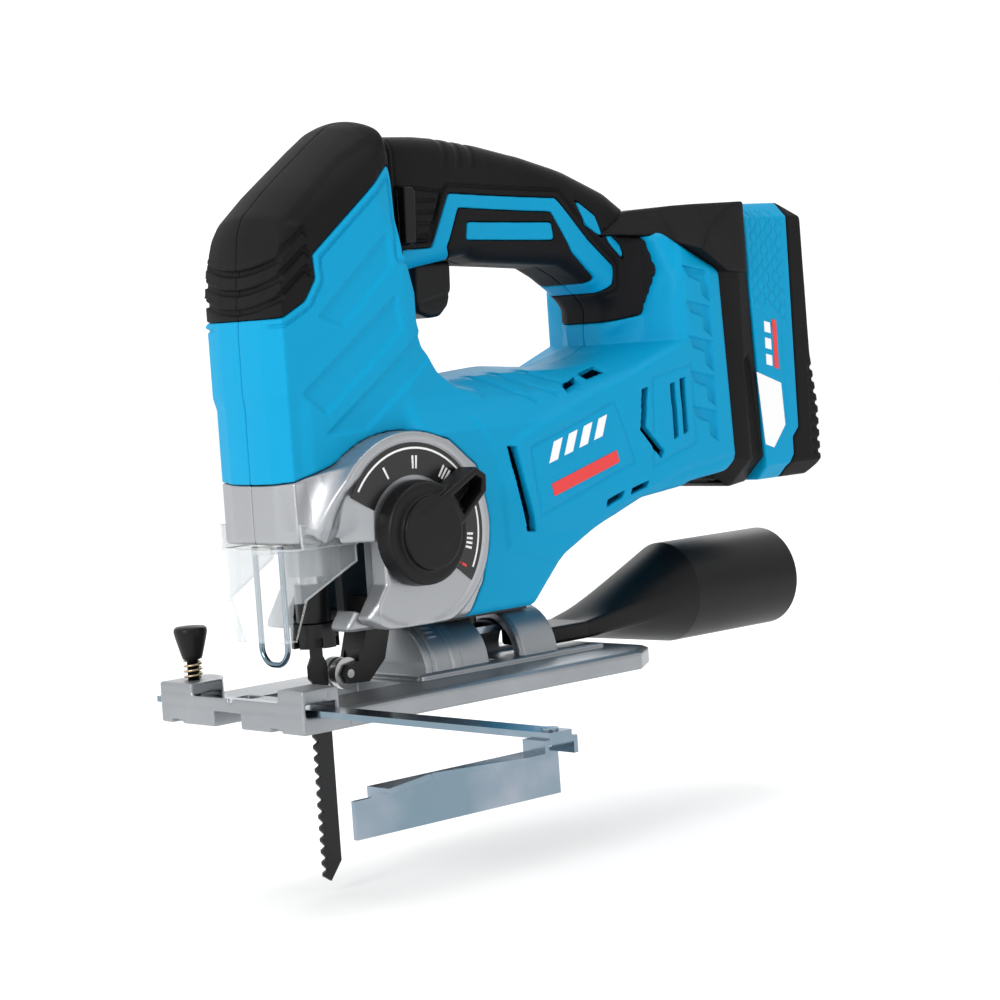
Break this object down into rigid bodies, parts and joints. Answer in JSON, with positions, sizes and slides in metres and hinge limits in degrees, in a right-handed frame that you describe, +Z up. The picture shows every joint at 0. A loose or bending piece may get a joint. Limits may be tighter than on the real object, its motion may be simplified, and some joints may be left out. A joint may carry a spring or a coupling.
{
  "type": "cordless jigsaw",
  "caption": "Handheld jigsaw with D-handle, slide-on battery, reciprocating blade, tilting shoe, parallel fence, pendulum dial and dust tube.",
  "frame": {"origin": "where the blade's centre line crosses the sole plane of the shoe", "axes": "+Z up, +X towards the battery, -X is the cutting direction, -Y is the operator's left"},
  "size_m": [0.331, 0.195, 0.2589],
  "materials": {
    "blue_shell": "fine moulded grain",
    "rubber": "matt overmoulded rubber",
    "black_plastic": "textured moulding",
    "silver_plastic": "satin silver moulding",
    "label": "printed label",
    "die_cast": "bead-blasted die casting",
    "zinc_plate": "bright zinc plating",
    "dark_steel": "blackened steel",
    "bright_steel": "ground steel",
    "spring_steel": "passivated spring wire",
    "clear": "clear moulding",
    "lens": "clear lens",
    "brass": "sintered bronze and brass",
    "copper": "copper",
    "board": "circuit board",
    "cell": "cell sleeve",
    "magnet": "ferrite"
  },
  "bodies": {
    "housing": {"housing_left": "blue_shell", "housing_right": "blue_shell", "overmould_left": "rubber", "overmould_right": "rubber", "nose_cover_left": "silver_plastic", "nose_cover_right": "silver_plastic", "dial_label": "label", "battery_foot": "black_plastic", "contact_block": "black_plastic", "contact_blades": "brass", "gear_case": "die_cast", "plunger_bushes": "brass", "gear_axle": "bright_steel", "motor_can": "bright_steel", "motor_magnets": "magnet", "brush_holder": "black_plastic", "carbon_brushes": "copper", "motor_bearings": "bright_steel", "switch_module": "black_plastic", "led_board": "board", "led_lens": "lens", "wire_guard": "zinc_plate", "yoke_pin": "bright_steel", "saddle_plate": "dark_steel", "clamp_plate": "zinc_plate", "trigger_spring": "spring_steel"},
    "armature": {"armature_shaft": "bright_steel", "armature_core": "bright_steel", "commutator": "copper", "cooling_fan": "black_plastic", "pinion": "bright_steel"},
    "gear": {"drive_gear": "bright_steel"},
    "balance": {"counterweight": "bright_steel"},
    "ram": {"plunger": "bright_steel", "scotch_yoke": "bright_steel", "clamp_body": "dark_steel", "blade": "dark_steel"},
    "collar": {"clamp_collar": "dark_steel"},
    "roller_arm": {"roller_yoke": "dark_steel", "roller_pin": "bright_steel"},
    "roller": {"roller": "bright_steel"},
    "dial": {"dial_knob": "black_plastic"},
    "trigger": {"trigger": "black_plastic"},
    "lock_off": {"lock_button": "black_plastic"},
    "chip_guard": {"clear_guard": "clear"},
    "shoe": {"shoe": "die_cast", "knob_spring": "spring_steel"},
    "bevel_screw": {"bevel_screw": "dark_steel"},
    "fence": {"fence_bar": "zinc_plate", "fence_plate": "zinc_plate", "fence_rivets": "zinc_plate"},
    "fence_knob": {"fence_knob": "black_plastic"},
    "dust_tube": {"dust_tube": "black_plastic"},
    "battery": {"battery_inner_shell": "blue_shell", "battery_outer_shell": "black_plastic", "battery_cells": "cell", "cell_holder": "black_plastic", "battery_board": "board", "battery_terminals": "brass"},
    "battery_button": {"battery_button": "black_plastic"}
  },
  "joints": [
    {"name": "gear_spin", "type": "hinge", "parent": "housing", "child": "gear", "pos_m": [0.02, 0, 0.1035], "axis": [1, 0, 0], "continuous": true},
    {"name": "armature_spin", "type": "hinge", "parent": "housing", "child": "armature", "pos_m": [0.06, 0, 0.081], "axis": [1, 0, 0], "continuous": true},
    {"name": "ram_slide", "type": "slide", "parent": "housing", "child": "ram", "axis": [0, 0, 1], "range_m": [-0.0045, 0.0155]},
    {"name": "balance_slide", "type": "slide", "parent": "housing", "child": "balance", "axis": [0, 0, 1], "range_m": [-0.00465, 0.00135]},
    {"name": "collar_twist", "type": "hinge", "parent": "ram", "child": "collar", "pos_m": [0, 0, 0.026], "axis": [0, 0, 1], "range_deg": [0, 60], "stiffness_Nm_per_rad": 0.02, "springref_deg": -17.19},
    {"name": "arm_swing", "type": "hinge", "parent": "housing", "child": "roller_arm", "pos_m": [0.025, 0, 0.034], "axis": [0, 1, 0], "range_deg": [-6, 0]},
    {"name": "roller_spin", "type": "hinge", "parent": "roller_arm", "child": "roller", "pos_m": [0.0099, 0, 0.012], "axis": [0, 1, 0], "continuous": true},
    {"name": "dial_turn", "type": "hinge", "parent": "housing", "child": "dial", "pos_m": [0.0195, -0.04, 0.0597], "axis": [0, -1, 0], "range_deg": [-45, 90]},
    {"name": "trigger_pull", "type": "slide", "parent": "housing", "child": "trigger", "axis": [0, 0, 1], "range_m": [0, 0.006], "stiffness_N_per_m": 700, "springref_m": -0.003, "deforming": ["trigger_spring"]},
    {"name": "lock_press", "type": "slide", "parent": "housing", "child": "lock_off", "axis": [0, 1, 0], "range_m": [0, 0.0025], "stiffness_N_per_m": 400, "springref_m": -0.002},
    {"name": "guard_slide", "type": "slide", "parent": "housing", "child": "chip_guard", "axis": [-1, 0, 0], "range_m": [0, 0.02]},
    {"name": "shoe_bevel", "type": "hinge", "parent": "housing", "child": "shoe", "pos_m": [0.06, 0, 0.0085], "axis": [1, 0, 0], "range_deg": [-30, 30]},
    {"name": "bevel_screw_turn", "type": "hinge", "parent": "housing", "child": "bevel_screw", "pos_m": [0.071, 0, 0.02], "axis": [0, 0, 1], "range_deg": [0, 180]},
    {"name": "fence_slide", "type": "slide", "parent": "shoe", "child": "fence", "axis": [0, 1, 0], "range_m": [-0.03, 0.09]},
    {"name": "fence_knob_turn", "type": "hinge", "parent": "shoe", "child": "fence_knob", "pos_m": [-0.03, 0.03, 0.02], "axis": [0, 0, 1], "range_deg": [0, 360]},
    {"name": "dust_tube_pull", "type": "slide", "parent": "shoe", "child": "dust_tube", "axis": [1, 0, 0], "range_m": [0, 0.06]},
    {"name": "battery_slide", "type": "slide", "parent": "housing", "child": "battery", "axis": [0, 0, 1], "range_m": [0, 0.095]},
    {"name": "battery_release", "type": "slide", "parent": "battery", "child": "battery_button", "axis": [-1, 0, 0], "range_m": [0, 0.002], "stiffness_N_per_m": 400, "springref_m": -0.002}
  ],
  "couplings": [
    {"joint": "armature_spin", "follows": "gear_spin", "ratio": -4},
    {"joint": "balance_slide", "follows": "ram_slide", "ratio": -0.3}
  ]
}
